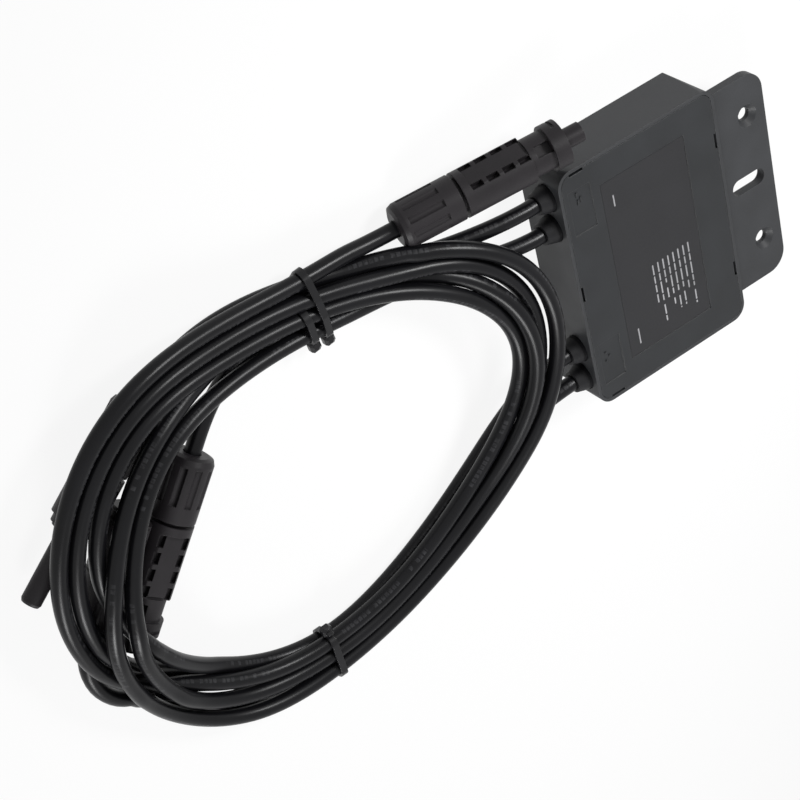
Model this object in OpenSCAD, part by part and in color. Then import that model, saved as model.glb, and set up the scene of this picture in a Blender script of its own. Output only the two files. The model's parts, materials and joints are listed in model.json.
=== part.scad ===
// Power optimizer: a sealed converter box with a mounting flange, four solar leads
// in a tied coil, and a cable connector on the end of each lead.
// Origin: centre of the housing's back face. +Z is the way the lid faces,
// +X points to the mounting flange, the leads leave the -X wall.

/* [Housing] */
// Width of the housing, along X
body_w = 72; // [66:1:84]
// Length of the housing, along Y
body_l = 100; // [96:1:120]
// Height of the housing, from its back to the lid's face
body_h = 23.5; // [23:0.5:30]
// Corner radius seen from the front
corner_r = 6; // [5:0.5:8]
// How far each wall leans in at the back
draft = 1; // [0.4:0.1:1.2]
// Thickness of the back
floor_t = 2.4; // [1.6:0.2:3]
// Width of the rim round the lid
rim_w = 1.3; // [1:0.1:2]
// Width of the ledge that the lid's gasket sits on
ledge_w = 1.5; // [1.2:0.1:2.5]

/* [Flange] */
// How far the flange reaches out from the wall
flange_w = 26; // [22:1:40]
// Length of the flange along Y
flange_l = 86.6; // [76:0.2:94]
// Thickness of the flange
flange_t = 3.7; // [2.5:0.1:5]
// Step from the lid's face down to the flange
flange_drop = 4.4; // [3:0.2:8]
// Radius of the flange's outer corners
flange_r = 8; // [3:0.5:12]
// Diameter of the two screw holes
hole_d = 5; // [4:0.1:6]
// Diameter of their countersinks
sink_d = 9; // [8:0.2:11]
// Distance between the screw holes
hole_pitch = 54; // [44:1:64]
// Distance from the screw holes to the flange's outer edge
hole_inset = 8.6; // [7:0.2:12]
// Length of the slot, end to end
slot_l = 15.5; // [12:0.5:18]
// Width of the slot
slot_w = 6.5; // [5.5:0.5:8]
// Distance from the slot's middle to the flange's outer edge
slot_inset = 12.2; // [11:0.2:14]

/* [Lid] */
// Thickness of the lid
lid_t = 2; // [1.6:0.1:2.6]
// Thickness of the gasket under the lid
seal_t = 0.8; // [0.5:0.1:1.2]
// Clearance round the lid
lid_gap = 0.15; // [0.1:0.05:0.3]
// Length of the snap notches in the lid's edge
notch_l = 6.2; // [5:0.2:9]
// Depth of the snap notches in the lid's edge
notch_d = 0.9; // [0.6:0.1:1.2]
// Distance from the housing's ends to the flange-side snaps
snap_inset_y = 22; // [16:1:30]
// Distance from the housing's walls to the short-side snaps
snap_inset_x = 8.6; // [8:0.2:20]
// Width of the label panel, along X
label_w = 38.5; // [30:0.5:42]
// Length of the label panel, along Y
label_l = 75.5; // [60:0.5:80]
// Thickness of the label panel
label_t = 0.25; // [0.1:0.05:0.35]
// Width of the shallow corner pads, along X
pad_w = 9.8; // [7:0.2:10.4]
// Length of the shallow corner pads, along Y
pad_l = 17.8; // [14:0.2:20]

/* [Cable exits] */
// Outside diameter of the cable
cable_d = 6; // [5:0.1:6.4]
// Distance from the housing's ends to the middle of each pair of exits
pair_inset = 17.2; // [15:0.2:20]
// Distance between the two exits of a pair
exit_pitch = 12.6; // [12:0.2:14]
// Depth of the exits below the lid's face
exit_drop = 8; // [7.6:0.2:9]
// Diameter of the grommet's outer collar
grommet_d = 10.4; // [9:0.2:11]
// How far the grommet stands out of the wall
grommet_l = 6; // [4:0.5:8]

/* [Circuit board] */
// Thickness of the board
board_t = 1.6; // [1.2:0.1:2]
// Height of the bosses that carry the board
boss_h = 4; // [3:0.5:4.5]
// Diameter of the bosses
boss_d = 6; // [5:0.2:7]
// Diameter of the board screws
screw_d = 2.5; // [2:0.1:3]
// Diameter of the inductor's winding
winding_d = 18; // [15:0.5:20]
// Height of the inductor
inductor_h = 11; // [9:0.5:11.5]
// Height of the capacitors
capacitor_h = 10.5; // [8:0.5:11.5]

/* [Connectors] */
// Largest diameter of a connector
con_d = 16.8; // [16:0.2:17]
// Length of the gland nut
nut_l = 23.2; // [21:0.2:26]
// Gap between the nut and the body
nut_gap = 1.3; // [0.6:0.1:2]
// Length of the ring behind the grip
ring_l = 3; // [2:0.1:4]
// Length of the grip
grip_l = 23.4; // [22:0.2:27]
// Length of the plug kind's shorter grip
plug_grip_l = 15.4; // [14:0.2:18]
// Length of the neck in front of the grip
neck_l = 8.3; // [7.4:0.1:11]
// Length of the collar
collar_l = 5.7; // [5:0.1:8]
// Diameter of the nose
nose_d = 7.2; // [6.4:0.2:7.6]
// How far the nose stands out of the collar
nose_short = 7.7; // [4:0.1:9]
// Length of the bare nose on the other kind
nose_long = 27; // [22:0.5:30]
// Length of one pocket in the grip
pocket_l = 4.4; // [3.6:0.1:5]

/* [Ties] */
// Width of the tie's band
tie_w = 2.6; // [2.4:0.2:4.8]
// Thickness of the tie's band
tie_t = 1.2; // [0.8:0.1:1.6]

/* [Hidden] */
$fn = 64;

// A cut runs this far past the face it opens
over = 1;
// Slip fit between parts that seat in each other
slip = 0.05;
// Free gap beside a seated part
free = 0.2;

// Housing, worked out from the outside in
recess_w = body_w - 2 * rim_w;
recess_l = body_l - 2 * rim_w;
recess_r = corner_r - rim_w;
cavity_w = recess_w - 2 * ledge_w;
cavity_l = recess_l - 2 * ledge_w;
cavity_r = recess_r - ledge_w;
lid_z = body_h - lid_t;
ledge_z = lid_z - seal_t;
draft_angle = atan(draft / body_h);

// Flange
flange_x = body_w / 2 + flange_w;
flange_top = body_h - flange_drop;
flange_bottom = flange_top - flange_t;
hole_x = flange_x - hole_inset;
slot_x = flange_x - slot_inset;

// Snaps: one on each short side, one in the middle of the exit side, two on the flange side
snap_along = body_l / 2 - snap_inset_y;
snap_side = body_w / 2 - snap_inset_x;
snap_relief = 0.6;
snap_w = notch_l - 2 * snap_relief;
snap_t = 1.2;
snap_l = 5;
barb = 0.7;
barb_h = 1.6;
// Each snap: the side's direction from the middle, and its place along that side
snaps = [[180, 0], [0, snap_along], [0, -snap_along], [90, snap_side], [270, -snap_side]];

// Lid details
panel_depth = 0.4;
panel_x = 0.8;
pad_depth = 0.3;
pad_edge = 2.2;

// Cable exits
exit_z = body_h - exit_drop;
pair_y = body_l / 2 - pair_inset;
pair_far = pair_y + exit_pitch / 2;
pair_near = pair_y - exit_pitch / 2;
exit_y = [pair_far, pair_near, -pair_near, -pair_far];
seat_depth = 0.8;
seat_x = body_w / 2 - seat_depth;
seat_gap = 0.3;
port_wall = 1;
port_d = cable_d + 2 * port_wall;
inner_lip = 1.4;
collar_rim = 1;
lip_d = 9.4;

// Circuit board and what stands on it
board_gap = 1.2;
board_w = cavity_w - 2 * board_gap;
board_l = cavity_l - 2 * board_gap;
board_z = floor_t + boss_h;
board_top = board_z + board_t;
boss_gap_x = 2.2;
boss_gap_y = 1.2;
boss_x = cavity_w / 2 - boss_d / 2 - boss_gap_x;
boss_y = cavity_l / 2 - boss_d / 2 - boss_gap_y;
screw_head_d = 4.4;
screw_head_h = 1.6;
screw_tip_gap = 0.8;
screw_depth = boss_h + screw_tip_gap;
inductor_x = board_w / 8;
inductor_wall = 3.6;
winding_bore = 8;
winding_gap = 1.6;
capacitor = [18, 8];
capacitor_inset = [23, 13];
capacitor_y = [for (inset = capacitor_inset) board_l / 2 - inset];
transistor = [10, 9, 4.4];
transistor_inset = 20.5;
transistor_x = transistor_inset - board_w / 2;
transistor_pitch = board_l / 8;
transistor_y = [for (k = [-1.5, -0.5, 0.5, 1.5]) k * transistor_pitch];
chip = [9, 9, 1.4];
chip_inset = [9, 18];
chip_at = [board_w / 2 - chip_inset[0], board_l / 2 - chip_inset[1]];
barrel_l = 8;
barrel_d = 4.8;
tab_w = 5;
tab_t = 0.8;
lead_stub = 1.4;
lead_start = -cavity_w / 2 + inner_lip + lead_stub;

// Connector stations along its axis, from the rear of the nut
con_r = con_d / 2;
nut_wall = 3;
seal_l = 6;
seal_end = nut_wall + seal_l;
clamp_l = 4;
tail_start = seal_end + clamp_l;
nut_side = 2.2;
thread_r = con_r - nut_side;
cable_depth = 7;
cable_seat = tail_start + cable_depth;
ring_start = nut_l + nut_gap;
grip_start = ring_start + ring_l;
neck_start = grip_start + grip_l;
collar_start = neck_start + neck_l;
front = collar_start + collar_l;
tip_short = front + nose_short;
shoulder_l = 4;
plug_neck = grip_start + plug_grip_l;
tip_long = plug_neck + shoulder_l + nose_long;
neck_step = 1.2;
neck_r = con_r - neck_step;
nose_r = nose_d / 2;
contact_r = 2.1;
collar_wall = 2.2;
socket_r = con_r - collar_wall;
socket_floor = 1;
socket_depth = collar_l - socket_floor;
// Two flats on the grip, each with a row of pockets down both of its edges
flat_depth = 1.6;
flat_at = con_r - flat_depth;
pocket_w = 2.2;
pocket_depth = 2;
pocket_at = 4.4;
pocket_count = 4;
pocket_margin = 0.3;
pocket_pitch = (grip_l - 2 * pocket_margin - pocket_l) / (pocket_count - 1);
row_angle = atan(pocket_at / flat_at);
end_groove = [0.6, 1];
// A window behind the collar in line with one row, a latch slot in the collar in line with the other
window_w = 4.2;
window_l = 6;
latch_w = 9;
latch_l = 1.3;
latch_depth = 1.1;
// Shallow flutes down the nut
flute_count = 10;
flute_r = 1.5;
flute_lift = 0.7;
flute_at = con_r + flute_lift;
flute_from = 3.5;
nut_band = 6;
flute_to = nut_l - nut_band;
edge_r = 2.4;
edge_step = 0.7;

// Where each connector lies: nut rear X and Y, heading, upward tilt and roll.
// Each lies on its ring and nut, so its axis is one radius up; the tilted one rests on its nut's edge.
con_input_a = [-199.3, 47.7, 219, 0, 0];
con_input_b = [-187, 19.5, 232, 0, 7];
con_output_a = [-92.2, 54.9, 4.95, 11.3, 108];
con_output_b = [-242.2, -23.6, 52, 0, 0];

// Room inside the ties, which lie on the resting surface and lift the cables by their own thickness
tie_gap = 0.4;
tied_h = 5.7;
tied_z = tied_h + tie_gap + tie_t;
// Middle line of the tied bundle, hand-laid: X, Y, Z, half width, half height
coil_route = [
    [-129, 46.5, tied_z, 12.2, tied_h], [-104, 41, 9.5, 8.4, 6], [-84, 36, 16.8, 10.4, 4.2],
    [-62, 18, 21.6, 12, 3.5], [-55, -6, 21.8, 11.8, 3.5], [-62, -31, 20.8, 11, 3.6],
    [-85, -61, 11, 9.5, 6.5], [-122, -84, 6.4, 11.5, 6], [-161, -92, tied_z, 10.9, tied_h],
    [-191, -86, 6.6, 12.2, 6], [-213, -70.5, 9, 13.5, 6.5], [-229.5, -50.5, 16, 10.5, 5],
    [-238, -28.5, 20.4, 11, 3.6], [-237.5, 4, 21.6, 15.5, 3.6], [-222, 33, 22, 17.5, 3.6],
    [-201, 50, 21.8, 15.7, 3.5], [-171, 49.5, 14, 14.8, 5], [-150, 49, 8.6, 12.4, 5.8],
];
// Free stretches beyond the grommets and nuts, hand-laid: X, Y, Z
input_lead_a_route = [[-50, 39, 15.4], [-66, 39.5, 12.6], [-86, 39.5, 9], [-100, 40, 7]];
input_lead_b_route = [[-50, 26.8, 15.4], [-66, 28.5, 12.4], [-86, 31, 7], [-100, 34, 6]];
output_lead_a_route = [[-48, -27.5, 15.2], [-58, -33, 11.5], [-70, -44, 7], [-80, -52, 6]];
output_lead_b_route = [[-49, -40, 15], [-61, -46, 10.5], [-75, -56.5, 7], [-87, -65, 6]];
input_tail_a_route = [[-191, 51.5, 7.6], [-182, 55, 6], [-170, 56.5, 4.6], [-152, 56, 5]];
input_tail_b_route = [[-181, 27, 8], [-173, 34.5, 6], [-162, 38.8, 4], [-148, 42, 4.4]];
output_tail_a_route = [[-101, 54.3, 6.4], [-110, 54.4, 6.6], [-120, 54.6, 7]];
output_tail_b_route = [
    [-246, -30.5, 7.6], [-247.5, -42, 6.4], [-243, -54, 5.6], [-234, -63, 5.6], [-221, -70, 6.4],
];
// The second upper tie holds the inner cables only: X, Y, heading and half width
inner_tie = [-137, 40.6, 170, 5.2];
tube_sides = 10;
coil_sides = 12;
tie_head = [4.4, 4.6, 3.8];
// Squares off the bundle's and the ties' oval sections
squareness = 0.7;

// Vector helpers for the swept solids
function unit(v) = v / norm(v);
function xyz(p) = [p[0], p[1], p[2]];
function wrap(i, n) = (i + n) % n;

// Half-way points of a closed smooth curve through the route's stations
function midpoint(route, i) =
    let (n = len(route), before = route[wrap(i - 1, n)], after = route[wrap(i + 2, n)])
    (9 * (route[i] + route[wrap(i + 1, n)]) - before - after) / 16;
coil_stations = [for (i = [0:len(coil_route) - 1]) each [coil_route[i], midpoint(coil_route, i)]];

// A ring of points round a path: half width a lies level, half height b stands up
function squared(v, power) = sign(v) * pow(abs(v), power);
function oval(a, b, sides, power) = [
    for (k = [0:sides - 1])
        let (angle = 360 * k / sides)
        [a * squared(cos(angle), power), b * squared(sin(angle), power)]
];
function ring(c, t, a, b, sides, power) =
    let (u = unit(cross([0, 0, 1], t)), w = cross(t, u))
    [for (q = oval(a, b, sides, power)) c + q[0] * u + q[1] * w];
function closed_tangent(p, i) = unit(xyz(p[wrap(i + 1, len(p))] - p[wrap(i - 1, len(p))]));
function open_tangent(p, i) = unit(p[min(i + 1, len(p) - 1)] - p[max(i - 1, 0)]);

// Faces between neighbouring rings, as flat triangles
function skin(from, to, sides) = [
    for (k = [0:sides - 1])
        let (m = (k + 1) % sides)
        each [
            [from * sides + k, to * sides + k, to * sides + m],
            [from * sides + k, to * sides + m, from * sides + m],
        ]
];

module tube(path, r, sides) {
    last = len(path) - 1;
    points = [for (i = [0:last]) each ring(path[i], open_tangent(path, i), r, r, sides, 1)];
    start_cap = [[for (k = [0:sides - 1]) k]];
    end_cap = [[for (k = [sides - 1:-1:0]) last * sides + k]];
    sides_faces = [for (i = [0:last - 1]) each skin(i, i + 1, sides)];
    polyhedron(points, concat(start_cap, sides_faces, end_cap));
}

module bundle(stations, sides) {
    n = len(stations);
    points = [
        for (i = [0:n - 1])
            let (p = stations[i])
            each ring(xyz(p), closed_tangent(stations, i), p[3], p[4], sides, squareness)
    ];
    polyhedron(points, [for (i = [0:n - 1]) each skin(i, wrap(i + 1, n), sides)]);
}

// Outline with round corners, made of squares and circles
module round_rect(w, l, r) {
    square([w - 2 * r, l], center = true);
    square([w, l - 2 * r], center = true);
    for (x = [-1, 1], y = [-1, 1])
        translate([x * (w / 2 - r), y * (l / 2 - r)])
            circle(r);
}

module round_block(w, l, r, from, to) {
    translate([0, 0, from])
        linear_extrude(to - from)
            round_rect(w, l, r);
}

// Puts a shape that points along +X at each snap's side and place
module at_snaps(half_w, half_l) {
    for (s = snaps) {
        reach = (s[0] % 180 == 0) ? half_w : half_l;
        rotate(s[0])
            translate([reach, s[1], 0])
                children();
    }
}

// Housing tray with the flange
module drafted_block() {
    difference() {
        round_block(body_w, body_l, corner_r, 0, body_h);
        for (side = [[0, body_w], [90, body_l], [180, body_w], [270, body_l]])
            rotate(side[0])
                translate([side[1] / 2, 0, body_h])
                    rotate([0, draft_angle, 0])
                        translate([0, -body_l, -2 * body_h])
                            cube([body_w, 2 * body_l, 2 * body_h]);
    }
}

module flange_plate() {
    root = body_w / 2 - ledge_w;
    translate([0, 0, flange_bottom])
        linear_extrude(flange_t)
            difference() {
                union() {
                    translate([root, -flange_l / 2])
                        square([flange_x - flange_r - root, flange_l]);
                    translate([root, -flange_l / 2 + flange_r])
                        square([flange_x - root, flange_l - 2 * flange_r]);
                    for (y = [-1, 1])
                        translate([flange_x - flange_r, y * (flange_l / 2 - flange_r)])
                            circle(flange_r);
                }
                translate([slot_x, 0])
                    square([slot_l - slot_w, slot_w], center = true);
                for (x = [-1, 1])
                    translate([slot_x + x * (slot_l - slot_w) / 2, 0])
                        circle(d = slot_w);
            }
}

module screw_holes() {
    sink_h = (sink_d - hole_d) / 2;
    for (y = [-1, 1])
        translate([hole_x, y * hole_pitch / 2, 0]) {
            translate([0, 0, flange_bottom - over])
                cylinder(h = flange_t + 2 * over, d = hole_d);
            translate([0, 0, flange_top - sink_h])
                cylinder(h = sink_h, d1 = hole_d, d2 = sink_d);
        }
}

// Ports through the exit wall, each with a flat seat for its grommet
module exit_ports() {
    for (y = exit_y)
        translate([0, y, exit_z])
            rotate([0, -90, 0]) {
                translate([0, 0, cavity_w / 2 - over])
                    cylinder(h = body_w / 2 - cavity_w / 2 + 2 * over, d = port_d);
                translate([0, 0, seat_x])
                    cylinder(h = seat_depth + over, d = grommet_d + 2 * seat_gap);
            }
}

module housing() {
    color([0.09, 0.09, 0.1])
        difference() {
            union() {
                difference() {
                    union() {
                        drafted_block();
                        flange_plate();
                    }
                    round_block(recess_w, recess_l, recess_r, ledge_z, body_h + over);
                    round_block(cavity_w, cavity_l, cavity_r, floor_t, body_h + over);
                }
                for (x = [-1, 1], y = [-1, 1])
                    translate([x * boss_x, y * boss_y, floor_t / 2])
                        cylinder(h = board_z - floor_t / 2, d = boss_d);
            }
            screw_holes();
            exit_ports();
            for (x = [-1, 1], y = [-1, 1])
                translate([x * boss_x, y * boss_y, board_z - screw_depth])
                    cylinder(h = screw_depth + over, d = screw_d + 2 * slip);
            at_snaps(cavity_w / 2, cavity_l / 2)
                translate([-over, -snap_w / 2 - free, lid_z - snap_l - free])
                    cube([over + barb + free, snap_w + 2 * free, barb_h + 2 * free]);
        }
}

// Lid: a flush plate with a panel recess, two corner pads, five notches and five snap tongues
module snap_tongue() {
    translate([-free - snap_t, -snap_w / 2, lid_z - snap_l])
        cube([snap_t, snap_w, snap_l + lid_t / 2]);
    translate([-free, snap_w / 2, lid_z - snap_l])
        rotate([90, 0, 0])
            linear_extrude(snap_w)
                polygon([[-snap_t / 2, 0], [0, 0], [barb, barb_h], [-snap_t / 2, barb_h]]);
}

module lid() {
    plate_w = recess_w - 2 * lid_gap;
    plate_l = recess_l - 2 * lid_gap;
    color([0.1, 0.1, 0.11])
        union() {
            difference() {
                round_block(plate_w, plate_l, recess_r - lid_gap, lid_z, body_h);
                translate([panel_x, 0, body_h - panel_depth + over])
                    cube([label_w + 2 * free, label_l + 2 * free, 2 * over], center = true);
                for (y = [-1, 1])
                    translate([-plate_w / 2 + pad_edge + pad_w / 2, y * pair_y, body_h - pad_depth + over])
                        cube([pad_w, pad_l, 2 * over], center = true);
                at_snaps(plate_w / 2, plate_l / 2)
                    translate([-notch_d, -notch_l / 2, lid_z - over])
                        cube([notch_d + over, notch_l, lid_t + 2 * over]);
            }
            at_snaps(cavity_w / 2, cavity_l / 2)
                snap_tongue();
        }
}

module lid_seal() {
    color([0.04, 0.04, 0.04])
        translate([0, 0, ledge_z])
            linear_extrude(seal_t)
                difference() {
                    round_rect(recess_w - 2 * slip, recess_l - 2 * slip, recess_r - slip);
                    round_rect(cavity_w + 2 * slip, cavity_l + 2 * slip, cavity_r + slip);
                }
}

module label_panel() {
    color([0.12, 0.115, 0.12])
        translate([panel_x - label_w / 2, -label_l / 2, body_h - panel_depth])
            cube([label_w, label_l, label_t]);
}

// Grommet: outer collar, neck through the wall and inner lip, turned about the cable
module grommet(y) {
    wall_t = seat_x - cavity_w / 2;
    bore = cable_d / 2 + slip;
    neck = port_d / 2 - slip;
    color([0.05, 0.05, 0.05])
        translate([-seat_x, y, exit_z])
            rotate([0, -90, 0])
                rotate_extrude()
                    polygon([
                        [bore, -wall_t - inner_lip], [lip_d / 2, -wall_t - inner_lip],
                        [lip_d / 2, -wall_t], [neck, -wall_t], [neck, 0],
                        [grommet_d / 2, 0], [grommet_d / 2, grommet_l / 3],
                        [bore + collar_rim, grommet_l], [bore, grommet_l],
                    ]);
}

// Circuit board with its screws and components
module circuit_board() {
    color([0.05, 0.25, 0.12])
        difference() {
            round_block(board_w, board_l, cavity_r, board_z, board_top);
            for (x = [-1, 1], y = [-1, 1])
                translate([x * boss_x, y * boss_y, board_z - over])
                    cylinder(h = board_t + 2 * over, d = screw_d + 2 * slip);
        }
}

module board_screws() {
    color([0.6, 0.6, 0.6])
        for (x = [-1, 1], y = [-1, 1])
            translate([x * boss_x, y * boss_y, 0]) {
                translate([0, 0, board_top])
                    cylinder(h = screw_head_h, d = screw_head_d);
                translate([0, 0, board_z - boss_h])
                    cylinder(h = boss_h + board_t, d = screw_d);
            }
}

// Ferrite block with a round post; the winding sits in the ring-shaped room round the post
module inductor_core() {
    side = winding_d + 2 * inductor_wall;
    color([0.16, 0.16, 0.17])
        translate([inductor_x, 0, board_top])
            difference() {
                translate([-winding_d / 2, -side / 2, 0])
                    cube([winding_d, side, inductor_h]);
                translate([0, 0, winding_gap])
                    difference() {
                        union() {
                            cylinder(h = inductor_h - 2 * winding_gap, d = winding_d + 2 * free);
                            translate([-winding_d, -winding_d / 4, 0])
                                cube([2 * winding_d, winding_d / 2, inductor_h - 2 * winding_gap]);
                        }
                        translate([0, 0, -over])
                            cylinder(h = inductor_h, d = winding_bore);
                    }
            }
}

module inductor_winding() {
    color([0.7, 0.35, 0.15])
        translate([inductor_x, 0, board_top + winding_gap])
            difference() {
                cylinder(h = inductor_h - 2 * winding_gap - free, d = winding_d);
                translate([0, 0, -over])
                    cylinder(h = inductor_h + 2 * over, d = winding_bore + 2 * slip);
            }
}

module capacitors(side) {
    color([0.55, 0.5, 0.3])
        for (y = capacitor_y)
            translate([inductor_x, side * y, 0])
                round_block(capacitor[0], capacitor[1], 1, board_top, board_top + capacitor_h);
}

module power_transistors() {
    color([0.12, 0.12, 0.12])
        for (y = transistor_y)
            translate([transistor_x - transistor[0] / 2, y - transistor[1] / 2, board_top])
                cube(transistor);
}

module controller_chip() {
    color([0.08, 0.08, 0.08])
        translate([chip_at[0] - chip[0] / 2, chip_at[1] - chip[1] / 2, board_top])
            cube(chip);
}

// Brass terminals: a foot on the board, an upright tab and a barrel at the cable's height
module cable_terminals() {
    color([0.75, 0.6, 0.25])
        for (y = exit_y)
            translate([lead_start, y, 0]) {
                translate([0, 0, exit_z])
                    rotate([0, 90, 0])
                        cylinder(h = barrel_l, d = barrel_d);
                translate([barrel_l - tab_t, -tab_w / 2, board_top])
                    cube([tab_t, tab_w, exit_z - board_top]);
                translate([barrel_l - tab_t, -tab_w / 2, board_top])
                    cube([tab_w, tab_w, tab_t]);
            }
}

// Leads: straight through the grommet, then the hand-laid stretch to the coil
module lead(i, route) {
    inner = [[lead_start, exit_y[i], exit_z], [-seat_x - grommet_l, exit_y[i], exit_z]];
    color([0.06, 0.06, 0.065])
        tube(concat(inner, route), cable_d / 2, tube_sides);
}

module cable_coil() {
    color([0.07, 0.07, 0.075])
        bundle(coil_stations, coil_sides);
}

// Cable tie lying across a bundle, with its head on the inner side of the loop
module tie(place, heading, half_w) {
    inner = [tied_h + tie_gap, half_w + tie_gap];
    outer = inner + [tie_t, tie_t];
    color([0.05, 0.05, 0.055])
        translate(place)
            rotate([0, 90, heading]) {
                translate([0, 0, -tie_w / 2])
                    linear_extrude(tie_w)
                        difference() {
                            polygon(oval(outer[0], outer[1], 2 * coil_sides, squareness));
                            polygon(oval(inner[0], inner[1], 2 * coil_sides, squareness));
                        }
                translate([-tie_head[2] / 2, outer[1] - tie_t / 2, -tie_head[0] / 2])
                    cube([tie_head[2], tie_head[1], tie_head[0]]);
            }
}

module coil_tie(i) {
    station = coil_stations[i];
    along = closed_tangent(coil_stations, i);
    tie(xyz(station), atan2(-along[1], -along[0]), station[3]);
}

module inner_cables_tie() {
    tie([inner_tie[0], inner_tie[1], tied_z], inner_tie[2], inner_tie[3]);
}

// Connectors, modelled standing on their nut's rear and then laid where they belong
function con_axis(c) = [cos(c[3]) * cos(c[2]), cos(c[3]) * sin(c[2]), sin(c[3])];
function con_rear(c) = [c[0], c[1], con_r * cos(c[3]) - edge_r * sin(c[3])];

module lay(c) {
    translate(con_rear(c))
        rotate([0, 90 - c[3], c[2]])
            rotate(c[4])
                children();
}

module con_nut(c) {
    color([0.11, 0.105, 0.11])
        lay(c)
            difference() {
                rotate_extrude()
                    polygon([
                        [cable_d / 2 + free, 0], [con_r - edge_r, 0],
                        [con_r - edge_step, edge_step], [con_r, edge_r],
                        [con_r, nut_l], [thread_r + slip, nut_l], [thread_r + slip, nut_wall],
                        [cable_d / 2 + free, nut_wall],
                    ]);
                for (k = [0:flute_count - 1])
                    rotate(360 * k / flute_count)
                        translate([flute_at, 0, flute_from])
                            cylinder(h = flute_to - flute_from, r = flute_r);
            }
}

module con_seal(c) {
    color([0.03, 0.03, 0.03])
        lay(c)
            translate([0, 0, nut_wall])
                difference() {
                    cylinder(h = seal_l, r = thread_r - slip);
                    translate([0, 0, -over])
                        cylinder(h = seal_l + 2 * over, r = cable_d / 2 + slip);
                }
}

module con_clamp_ring(c) {
    slit = 0.8;
    color([0.2, 0.2, 0.2])
        lay(c)
            translate([0, 0, seal_end])
                difference() {
                    cylinder(h = clamp_l, r = thread_r - slip);
                    translate([0, 0, -over])
                        cylinder(h = clamp_l + 2 * over, r = cable_d / 2 + slip);
                    for (a = [0:60:300])
                        rotate(a)
                            translate([0, -slit / 2, clamp_l / 3])
                                cube([con_r, slit, clamp_l]);
                }
}

// Flats, end grooves and pockets of the grip, on two opposite faces
module grip_cuts(length) {
    first = grip_start + pocket_margin;
    last = floor((length - 2 * pocket_margin - pocket_l) / pocket_pitch + slip);
    for (face = [0, 180])
        rotate(face) {
            translate([flat_at, -con_r, grip_start])
                cube([con_r, 2 * con_r, length]);
            translate([flat_at - end_groove[0], -con_r, grip_start + length - end_groove[1]])
                cube([con_r, 2 * con_r, end_groove[1]]);
            for (row = [-1, 1], k = [0:last])
                translate([flat_at - pocket_depth, row * pocket_at - pocket_w / 2, first + k * pocket_pitch])
                    cube([con_r, pocket_w, pocket_l]);
        }
}

// Bore for the cable at the rear, then for the contact to the nose's tip
module con_bore(tip) {
    translate([0, 0, tail_start - over])
        cylinder(h = cable_seat - tail_start + over, r = cable_d / 2 + slip);
    translate([0, 0, tail_start])
        cylinder(h = tip - tail_start + over, r = contact_r + slip);
}

// Threaded tail, ring and grip, shared by both kinds of connector
function rear_profile(end) = [
    [0, tail_start], [thread_r - slip, tail_start], [thread_r - slip, ring_start],
    [con_r, ring_start], [con_r, end],
];

// Collar kind: neck with windows, slotted collar and a short nose inside it
module collar_body(c) {
    color([0.11, 0.105, 0.11])
        lay(c)
            difference() {
                rotate_extrude()
                    polygon(concat(rear_profile(neck_start), [
                        [neck_r, neck_start], [neck_r, collar_start],
                        [con_r, collar_start], [con_r, front],
                        [socket_r, front], [socket_r, front - socket_depth],
                        [nose_r, front - socket_depth], [nose_r, tip_short], [0, tip_short],
                    ]));
                grip_cuts(grip_l);
                con_bore(tip_short);
                for (face = [0, 180]) {
                    rotate(face + row_angle)
                        translate([neck_r - collar_wall, -window_w / 2, collar_start - window_l])
                            cube([con_r, window_w, window_l]);
                    rotate(face - row_angle)
                        translate([con_r - latch_depth, -latch_w / 2, front - collar_l / 2])
                            cube([con_r, latch_w, latch_l]);
                }
            }
}

// Plug kind: a stepped shoulder with a catch groove and a long bare nose
module plug_body(c) {
    groove = 1;
    color([0.11, 0.105, 0.11])
        lay(c)
            difference() {
                rotate_extrude()
                    polygon(concat(rear_profile(plug_neck), [
                        [neck_r, plug_neck], [neck_r, plug_neck + shoulder_l - groove],
                        [neck_r - groove, plug_neck + shoulder_l - groove],
                        [neck_r - groove, plug_neck + shoulder_l],
                        [nose_r, plug_neck + shoulder_l], [nose_r, tip_long - groove],
                        [nose_r - groove / 2, tip_long], [0, tip_long],
                    ]));
                grip_cuts(plug_grip_l);
                con_bore(tip_long);
            }
}

// Metal contact: a crimp barrel behind, then the pin or socket
module con_contact(c, tip) {
    color([0.75, 0.75, 0.72])
        lay(c)
            difference() {
                translate([0, 0, cable_seat])
                    cylinder(h = tip - over - cable_seat, r = contact_r);
                translate([0, 0, tip - 4 * contact_r])
                    cylinder(h = 4 * contact_r, r = contact_r / 2);
            }
}

// Tails: straight out of the connector's nut, then the hand-laid stretch to the coil
module tail(c, route) {
    start = [con_rear(c) + con_axis(c) * cable_seat, con_rear(c)];
    color([0.06, 0.06, 0.065])
        tube(concat(start, route), cable_d / 2, tube_sides);
}

housing();
lid();
lid_seal();
label_panel();
grommet(exit_y[0]);  // input_grommet_a
grommet(exit_y[1]);  // input_grommet_b
grommet(exit_y[2]);  // output_grommet_a
grommet(exit_y[3]);  // output_grommet_b
circuit_board();
board_screws();
inductor_core();
inductor_winding();
capacitors(1);  // input_capacitors
capacitors(-1);  // output_capacitors
power_transistors();
controller_chip();
cable_terminals();
lead(0, input_lead_a_route);  // input_lead_a
lead(1, input_lead_b_route);  // input_lead_b
lead(2, output_lead_a_route);  // output_lead_a
lead(3, output_lead_b_route);  // output_lead_b
cable_coil();
coil_tie(0);  // upper_tie_a
inner_cables_tie();  // upper_tie_b
coil_tie(16);  // lower_tie
tail(con_input_a, input_tail_a_route);  // input_tail_a
tail(con_input_b, input_tail_b_route);  // input_tail_b
tail(con_output_a, output_tail_a_route);  // output_tail_a
tail(con_output_b, output_tail_b_route);  // output_tail_b
con_nut(con_input_a);  // input_a_nut
plug_body(con_input_a);  // input_a_body
con_seal(con_input_a);  // input_a_seal
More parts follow.
